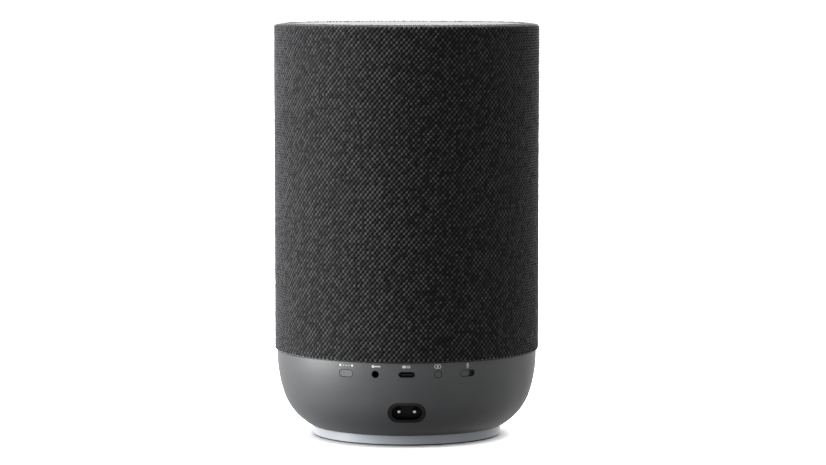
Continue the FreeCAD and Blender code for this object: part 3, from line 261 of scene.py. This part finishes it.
def pressed(name, colour, shade, roughness, fibre_mm, depth, ior=1.5):
    """Pressed fibre, foam, film or rubber: a fine lumpy surface in two close shades. The darker one lies
    in the hollows of the lumps, so it is partly the material's tone and partly painted shade.
    """
    material, tree, shader = new_material(name, colour, roughness, ior=ior)
    lumps_and_hollow_shade = spots(tree, fibre_mm, 5.0)
    # painted shade: the darker colour follows the low spots of the same lumps that the bump raises
    feed(tree, between(tree, lumps_and_hollow_shade, linear(shade), linear(colour), 0.35, 0.65), shader, "Base Color")
    bump(tree, shader, lumps_and_hollow_shade, depth)
    return material


def masked_board():
    """Solder mask over etched copper: the tracks show as paler lines that stand a little proud."""
    material, tree, shader = new_material("solder mask on glass epoxy", "#1c5a34", 0.35, ior=1.54)
    place = add(tree, "TexCoord").outputs["Object"]
    tracks = add(tree, "TexBrick", {"Vector": place, "Scale": 250.0, "Color1": linear("#1a5230"),
                                    "Color2": linear("#1f6339"), "Mortar": linear("#2f7d4a"),
                                    "Mortar Size": 0.06})
    feed(tree, tracks.outputs["Color"], shader, "Base Color")
    bump(tree, shader, tracks.outputs["Fac"], 0.03)
    return material


def wound_copper():
    """Enamelled wire wound side by side, 0.5 mm thick: a ripple for each turn, with painted shade in each
    groove.
    """
    material, tree, shader = new_material("enamelled copper wire", "#b0602c", 0.3, metallic=1.0)
    place = add(tree, "TexCoord").outputs["Object"]
    turns = add(tree, "TexWave", {"Vector": place, "Scale": 314.0, "Distortion": 0.4}, bands_direction="Z")
    # painted shade and highlight: the wire's colour darkens into each groove between turns and lightens on
    # each crest
    feed(tree, between(tree, turns.outputs["Fac"], linear("#7c3a16"), linear("#c9743a"), 0.0, 1.0),
         shader, "Base Color")
    bump(tree, shader, turns.outputs["Fac"], 0.1)
    return material


TWIST = (11.0, 2.2, 0.0)    # fibres across a float each way, unequal so that they slant


def heather_weave():
    """Two-tone polyester yarn, woven. The cloth's own "weave" coordinates count its yarns, so each float that
    shows has one shade of dye, its fibres slant with the twist, and the gaps beside it are darkened with
    painted shade. The fibre streaks are partly the fibres' tone and partly painted shade where the fibre bump
    is low.
    A fine nap of loose fibre ends catches light at grazing angles."""
    material, tree, shader = new_material("heather polyester weave", "#26272b", 0.85, ior=1.46)
    weave = add(tree, "Attribute", attribute_name="weave").outputs["Vector"]
    relief = add(tree, "Attribute", attribute_name="relief").outputs["Fac"]
    float_number = add(tree, "VectorMath", {0: weave}, operation="FLOOR").outputs["Vector"]
    dye = add(tree, "TexWhiteNoise", {"Vector": float_number}, noise_dimensions="2D").outputs["Value"]
    shade = between(tree, dye, linear("#0e0e0f"), linear("#434345"), 0.0, 1.0)
    streak = add(tree, "VectorMath", {0: weave, 1: TWIST}, operation="MULTIPLY").outputs["Vector"]
    fibres = add(tree, "TexNoise", {"Vector": streak, "Scale": 1.0, "Detail": 3.0}).outputs[0]
    # partly fibre tone, partly painted shade: the streaks darken the yarn where the fibre bump is low
    fibre_tone_and_shade = between(tree, fibres, grey(0.6), grey(1.0), 0.3, 0.7)
    yarn = add(tree, "Mix", {"Factor": 1.0, 6: shade, 7: fibre_tone_and_shade}, data_type="RGBA",
               blend_type="MULTIPLY")
    # painted shade: the yarn's colour is darkened almost to black in the gaps between floats, where the
    # relief is low
    gap_painted_shade = between(tree, relief, grey(0.02), grey(1.0), 0.36, 0.9)
    cloth = add(tree, "Mix", {"Factor": 1.0, 6: yarn.outputs[2], 7: gap_painted_shade}, data_type="RGBA",
                blend_type="MULTIPLY")
    feed(tree, cloth.outputs[2], shader, "Base Color")
    shader.inputs["Sheen Weight"].default_value = 1.0
    shader.inputs["Sheen Roughness"].default_value = 0.3
    shader.inputs["Sheen Tint"].default_value = linear("#dadade")
    shader.inputs["Specular IOR Level"].default_value = 0.2
    bump(tree, shader, fibres, 0.06)
    return material


def finishes():
    """A material for each of the record's slots."""
    return {
        # spark-eroded to a satin: broad soft highlights that brighten at the edges
        "base_plastic": moulded("satin moulded ABS", "#2b2c2e", "#28292b", 0.5, ior=1.62),
        # smoother than the base and cooler in colour: a clean pale line under the dark bowl
        "ring_plastic": moulded("pale moulded ABS", "#767a7f", "#707479", 0.32),
        # the touch surface is polished, so it mirrors the room at a low angle
        "panel_plastic": moulded("polished polycarbonate", "#1b1c1e", "#17181a", 0.16, grain_depth=0.001,
                                 spread=0.04),
        # nearly no shine, so sockets and inner frames read as dark openings
        "black_plastic": moulded("black moulded PBT", "#0b0b0c", "#09090a", 0.5, ior=1.34),
        # milky and even, to spread a light
        "light_diffuser": moulded("frosted acrylic", "#c9ced2", "#c0c5ca", 0.5),
        # matt and dark, with a faint bloom: a thin black line where the ring meets the table
        "foot_rubber": pressed("moulded silicone rubber", "#1b1b1c", "#141415", 0.75, 1.0, 0.02, ior=1.41),
        # a soft low shine that follows the roll round the cone
        "surround_rubber": pressed("moulded butyl rubber", "#17171a", "#121214", 0.6, 2.0, 0.02, ior=1.51),
        # a waxy shine along the leads
        "lead_jacket": pressed("extruded PVC", "#1a1a1b", "#141415", 0.5, 1.5, 0.01, ior=1.53),
        # a tight glossy skin, slightly wrinkled
        "capacitor_sleeve": pressed("shrunk PET film", "#20283c", "#1b2233", 0.35, 3.0, 0.01, ior=1.57),
        # amber and glossy, from the film
        "ribbon_film": pressed("polyimide film", "#b8742a", "#a6661f", 0.35, 4.0, 0.01, ior=1.7),
        # open pores, much darker in their hollows with painted shade
        "gasket_foam": pressed("open cell foam", "#26262a", "#0f0f11", 0.95, 0.6, 0.12),
        # short fibres that mottle the black
        "cone_paper": pressed("pressed paper pulp", "#24242a", "#17171b", 0.8, 0.8, 0.06),
        # short golden fibres, stiff with resin
        "spider_cloth": pressed("dipped cotton cloth", "#a97b3c", "#8d6430", 0.85, 0.5, 0.06),
        # a smooth cloth under a thin coat, with a small soft highlight
        "dome_silk": pressed("coated silk", "#191920", "#121217", 0.55, 0.4, 0.02),
        # a dense dark ceramic with a metallic cast
        "ferrite": pressed("sintered ferrite", "#2b2a2c", "#222123", 0.55, 1.0, 0.02, ior=2.2),
        # warm bright metal with fine drawn marks, on the pins and screws
        "plated_steel": rolled("nickel plated steel", "#b9b7b1", 0.3),
        # dark metal that only glints along the socket's lip
        "blackened_steel": rolled("black nickel plated steel", "#343436", 0.35),
        # a cooler grey with wider marks from the press
        "basket_steel": rolled("zinc plated steel", "#8f9296", 0.42, 2.0),
        # pale, with marks along the extrusion
        "sink_aluminium": rolled("extruded aluminium", "#a9abad", 0.38, 2.0),
        "copper_wire": wound_copper(),
        "circuit_board": masked_board(),
        "woven_fabric": heather_weave(),
    }


def paint_nodes(materials):
    """Give every CAD node the finish of its slot in the record."""
    for part in frame["record"]["subparts"]:
        mesh = frame["nodes"][part["node"]].data
        mesh.materials.clear()
        mesh.materials.append(materials[part["material_slot"]])


# ---- the woven sleeve ------------------------------------------------------------------------

FLOATS_ROUND = 352       # yarn floats round the sleeve, 1.32 mm apart
ROW_PITCH = 1.49 * MM    # from one row of floats to the next
SAMPLES = 3              # mesh points per float, each way
YARN_DEPTH = 0.78 * MM   # from the crown of a float to the gap beside it
RIM_SLOPE = 9            # degrees that the cloth rises towards the panel
LIP_RISE = 0.45 * MM     # the folded lip of the cloth stands this far above the panel
PANEL_GAP = 0.3 * MM     # between the panel's edge and the cloth
HEM_TURN = 3.0 * MM      # of cloth turned in at the hem
LIP_TUCK = 5.0 * MM      # of cloth tucked down beside the panel
RISING_SHARE = 0.54      # of the relief is on the rising diagonals, and the rest on the falling ones
DRIFT = 0.10             # how far a yarn wanders, in floats
UNEVEN = 0.18            # how much the floats differ in height


def arc(centre, radius, start, end, steps=8):
    """Points on an arc. Angles are in degrees, from outwards towards up."""
    turns = np.radians(np.linspace(start, end, steps))
    return [(centre[0] + radius * math.cos(turn), centre[1] + radius * math.sin(turn)) for turn in turns]


def sleeve_profile():
    """The cloth's middle line from its tucked hem, up the side and over the rim, as (radius, height)."""
    half = YARN_DEPTH / 2
    skin, low, high = SLEEVE_RADIUS - half, HEM + half, TOP - half + LIP_RISE
    hem, corner, lip = 0.4 * MM, 1.5 * MM, 0.5 * MM
    slope = math.radians(RIM_SLOPE)
    lip_centre = (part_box("top_panel")[1][0] + PANEL_GAP + lip + half, high - lip)
    run = skin - corner + corner * math.sin(slope) - lip_centre[0] - lip * math.sin(slope)
    lean = run * math.tan(slope)
    corner_centre = (skin - corner, high - lip + lip * math.cos(slope) - lean - corner * math.cos(slope))
    line = [(skin - 2 * hem, low + HEM_TURN)]
    line += arc((skin - hem, low + hem), hem, 180, 360)
    line += arc(corner_centre, corner, 0, 90 - RIM_SLOPE)
    line += arc(lip_centre, lip, 90 - RIM_SLOPE, 180)
    line += [(lip_centre[0] - lip, high - LIP_TUCK)]
    return np.array(line)


def resample(line, step):
    """Evenly spaced points along a line, with the outward direction at each."""
    lengths = np.concatenate([[0], np.cumsum(np.linalg.norm(np.diff(line, axis=0), axis=1))])
    count = int(lengths[-1] / step) + 1
    along = np.linspace(0, lengths[-1], count)
    points = np.stack([np.interp(along, lengths, line[:, axis]) for axis in (0, 1)], 1)
    way = np.gradient(points, axis=0)
    way /= np.linalg.norm(way, axis=1)[:, None]
    return points, np.stack([way[:, 1], -way[:, 0]], 1), along


def wander(rng, rows, columns, every, wraps):
    """Smooth random drift over a grid, from random values at every so many rows and columns."""
    tall, wide = max(2, round(rows / every[0])), max(2, round(columns / every[1]))
    coarse = rng.normal(size=(tall, wide))
    if wraps:
        coarse = np.concatenate([coarse, coarse[:, :1]], 1)
    down = np.linspace(0, coarse.shape[0] - 1, rows)
    across = np.linspace(0, coarse.shape[1] - 1, columns, endpoint=not wraps)
    rise = np.stack([np.interp(down, np.arange(coarse.shape[0]), coarse[:, column])
                     for column in range(coarse.shape[1])], 1)
    return np.stack([np.interp(across, np.arange(coarse.shape[1]), row) for row in rise])


def weave_sleeve(material):
    """The cloth as one sheet of mesh: each float of yarn that shows stands proud, the gaps between floats are
    pits, and the floats run together along diagonals that rise towards -X when seen from behind."""
    rng = np.random.default_rng(SEED)
    line, outward, along = resample(sleeve_profile(), ROW_PITCH / SAMPLES)
    rows, columns = len(line), FLOATS_ROUND * SAMPLES
    column_place = np.arange(columns) / SAMPLES
    u, v = np.meshgrid(column_place, along / ROW_PITCH)
    u = u + DRIFT * wander(rng, rows, columns, (24, 6), True)
    v = v + DRIFT * wander(rng, rows, columns, (6, 24), True)
    rising, falling = np.cos(np.pi * (u - v)), np.cos(np.pi * (u + v))
    relief = 0.5 + 0.5 * (RISING_SHARE * rising + (1 - RISING_SHARE) * falling)
    tension = 1 + UNEVEN * wander(rng, rows, columns, (4, 4), True)
    height = (relief * tension - 0.5) * YARN_DEPTH
    height = np.clip(height, -YARN_DEPTH / 2, YARN_DEPTH / 2)
    radius = line[:, :1] + outward[:, :1] * height
    level = line[:, 1:] + outward[:, 1:] * height
    turn = 2 * np.pi * column_place / FLOATS_ROUND
    points = np.stack([-radius * np.sin(turn), radius * np.cos(turn), level], 2).reshape(-1, 3)
    index = np.arange(rows * columns).reshape(rows, columns)
    after = np.roll(index, -1, axis=1)
    faces = np.stack([index[:-1], index[1:], after[1:], after[:-1]], 2).reshape(-1, 4)

    mesh = bpy.data.meshes.new("woven_sleeve")
    mesh.vertices.add(len(points))
    mesh.vertices.foreach_set("co", points.astype(np.float32).ravel())
    mesh.loops.add(faces.size)
    mesh.loops.foreach_set("vertex_index", faces.astype(np.int32).ravel())
    mesh.polygons.add(len(faces))
    mesh.polygons.foreach_set("loop_start", np.arange(0, faces.size, 4, dtype=np.int32))
    mesh.update(calc_edges=True)
    mesh.validate()
    mesh.shade_smooth()

    # Half-sum and half-difference of the yarn counts number the floats: a whole number of each is a crown.
    wraps = np.zeros(faces.shape)
    wraps[:, 2:] = np.tile(np.arange(columns) == columns - 1, rows - 1)[:, None] * FLOATS_ROUND
    corner_u = u.reshape(-1)[faces] + wraps
    corner_v = v.reshape(-1)[faces]
    weave = np.stack([(corner_u + corner_v) / 2 + 0.5, (corner_u - corner_v) / 2 + 0.5,
                      np.zeros(faces.shape)], 2)
    mesh.attributes.new("weave", "FLOAT_VECTOR", "CORNER").data.foreach_set(
        "vector", weave.astype(np.float32).ravel())
    mesh.attributes.new("relief", "FLOAT", "POINT").data.foreach_set(
        "value", relief.astype(np.float32).ravel())
    mesh.materials.append(material)
    sleeve = in_scene("woven_sleeve", mesh)
    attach(sleeve, "root")
    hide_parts("fabric_sleeve")


# ---- rings cut into wedges -------------------------------------------------------------------

WEDGES = 16    # in each ring


def bending_ring(node, material):
    """The surround or the spider, cut into wedges about their middle lines, each with its cut sides filled."""
    source = frame["nodes"][node]
    low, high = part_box(node)
    centre = Vector([(low[axis] + high[axis]) / 2 for axis in range(3)])
    for wedge in range(WEDGES):
        middle = 2 * math.pi * (wedge + 0.5) / WEDGES
        piece_mesh = bmesh.new()
        piece_mesh.from_mesh(source.data)
        piece_mesh.transform(source.matrix_world)
        for side in (-1, 1):
            edge = middle + side * math.pi / WEDGES
            outward = Vector((-side * math.sin(edge), 0, side * math.cos(edge)))
            everything = piece_mesh.verts[:] + piece_mesh.edges[:] + piece_mesh.faces[:]
            cut = bmesh.ops.bisect_plane(piece_mesh, geom=everything, plane_co=centre, plane_no=outward,
                                         clear_outer=True)["geom_cut"]
            rim = [item for item in cut if isinstance(item, bmesh.types.BMEdge)]
            bmesh.ops.holes_fill(piece_mesh, edges=rim)
        mesh = bpy.data.meshes.new("%s_%02d" % (node, wedge + 1))
        piece_mesh.to_mesh(mesh)
        piece_mesh.free()
        mesh.materials.clear()
        mesh.materials.append(material)
        piece = in_scene(mesh.name, mesh)
        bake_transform(piece)
        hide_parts(node)


# ---- printed marks ---------------------------------------------------------------------------

INK = 0.05 * MM          # how far the ink stands above the surface, and reaches below it
MARK_RISE = 4.3 * MM     # from the middle of the sockets to the middle of the marks
MARK_BAND = 12 * MM      # of the base below the hem that can carry marks
SURFACE_REACH = 1.2 * MM # of height, over which the base's radius is read
BAR_STEPS = 24


def slab(shape, place):
    """A closed flat shape in ink. Its points go through place(across, up, out) to points in space."""
    count = len(shape)
    points = [place(x, z, out) for out in (INK, -INK) for x, z in shape]
    faces = [tuple(range(count)), tuple(range(2 * count - 1, count - 1, -1))]
    faces += [(index, index + count, (index + 1) % count + count, (index + 1) % count)
              for index in range(count)]
    return points, faces


def disc(x, z, radius, steps=20):
    turns = [2 * math.pi * step / steps for step in range(steps)]
    return [(x + radius * math.cos(turn), z + radius * math.sin(turn)) for turn in turns]


def bar(x, z, width, tall):
    """A bar with rounded ends."""
    radius = min(width, tall) / 2
    reach, rise = width / 2 - radius, tall / 2 - radius
    points = []
    for step in range(BAR_STEPS):
        turn = 2 * math.pi * (step + 0.5) / BAR_STEPS
        side, up = math.cos(turn), math.sin(turn)
        points.append((x + math.copysign(reach, side) + radius * side,
                       z + math.copysign(rise, up) + radius * up))
    return points


def hoop(x, z, radius, line, start=0, end=360, steps=28):
    """A curved stroke, as short overlapping pieces."""
    pieces = []
    turns = np.radians(np.linspace(start, end, steps + 1))
    inner, outer = radius - line / 2, radius + line / 2
    for one, two in zip(turns[:-1], turns[1:]):
        pieces.append([(x + inner * math.cos(one), z + inner * math.sin(one)),
                       (x + outer * math.cos(one), z + outer * math.sin(one)),
                       (x + outer * math.cos(two), z + outer * math.sin(two)),
                       (x + inner * math.cos(two), z + inner * math.sin(two))])
    return pieces


def print_mark(name, shapes, place, material):
    """One mark, from flat shapes in millimetres."""
    points, faces = [], []
    for shape in shapes:
        more, sides = slab([(x * MM, z * MM) for x, z in shape], place)
        faces += [tuple(len(points) + index for index in side) for side in sides]
        points += more
    mesh = bpy.data.meshes.new(name)
    mesh.from_pydata(points, [], faces)
    mesh.materials.append(material)
    mark = in_scene(name, mesh)
    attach(mark, "root")


def base_surface():
    """The base's outer surface as (height, radius) pairs, read from its mesh."""
    mesh = frame["nodes"]["base_shell"].data
    points = np.array([vertex.co for vertex in mesh.vertices])
    radius = np.hypot(points[:, 0], points[:, 1])
    heights = np.linspace(HEM - MARK_BAND, HEM - 0.4 * MM, 24)
    near = [np.abs(points[:, 2] - height) < SURFACE_REACH for height in heights]
    return heights, np.array([radius[points_near].max() for points_near in near])


def print_marks(material):
    """Small pale pictograms above the sockets and controls, and on the touch panel."""
    heights, radii = base_surface()

    def on_base(angle, height):
        def place(across, up, out):
            level = height + up
            radius = np.interp(level, heights, radii) + out
            turn = angle - across / radius
            return (radius * math.sin(turn), radius * math.cos(turn), level)
        return place

    def on_panel(across, up, out):
        return (across, up, PANEL_TOP + out)

    row = PORT_HEIGHT + MARK_RISE
    pictures = {
        # two stations and the link between them
        "mark_connect": ("connect_button", [disc(-3.6, 0, 0.62), disc(3.6, 0, 0.62), bar(-1.7, 0, 1.0, 0.3),
                                            bar(0, 0, 1.0, 0.3), bar(1.7, 0, 1.0, 0.3)]),
        # a slim plug
        "mark_audio": ("aux_jack", [bar(-1.5, 0, 1.5, 1.5), bar(0.5, 0, 3.0, 0.6), disc(2.1, 0, 0.45)]),
        # a flat plug
        "mark_charge": ("usb_shell", [bar(-1.4, 0, 2.2, 1.5), bar(0.8, 0.42, 2.0, 0.36),
                                      bar(0.8, -0.42, 2.0, 0.36), bar(1.7, 0, 0.36, 1.1)]),
        # two linked rings
        "mark_pair": ("pair_button", hoop(-0.75, 0, 1.0, 0.36) + hoop(0.75, 0, 1.0, 0.36)),
        # a microphone on its stand
        "mark_microphone": ("mic_switch", [bar(0, 0.5, 0.9, 1.7), bar(0, -1.05, 0.3, 0.7),
                                           bar(0, -1.35, 1.3, 0.3)]
                            + hoop(0, 0.35, 0.95, 0.28, 200, 340, 12)),
    }
    for name, (node, shapes) in pictures.items():
        print_mark(name, shapes, on_base(angle_of(node), row), material)
    # less, play and more
    print_mark("mark_touch", [bar(-32, 0, 5, 0.7), bar(32, 0, 5, 0.7), bar(32, 0, 0.7, 5)]
               + [[(-2, -2.6), (2.4, 0), (-2, 2.6)]], on_panel, material)


make_camera()
make_studio()
FINISH = finishes()
paint_nodes(FINISH)
weave_sleeve(FINISH["woven_fabric"])
bending_ring("woofer_surround", FINISH["surround_rubber"])
bending_ring("woofer_spider", FINISH["spider_cloth"])
print_marks(moulded("pale printed ink", "#a6a8aa", "#9ea0a2", 0.5))
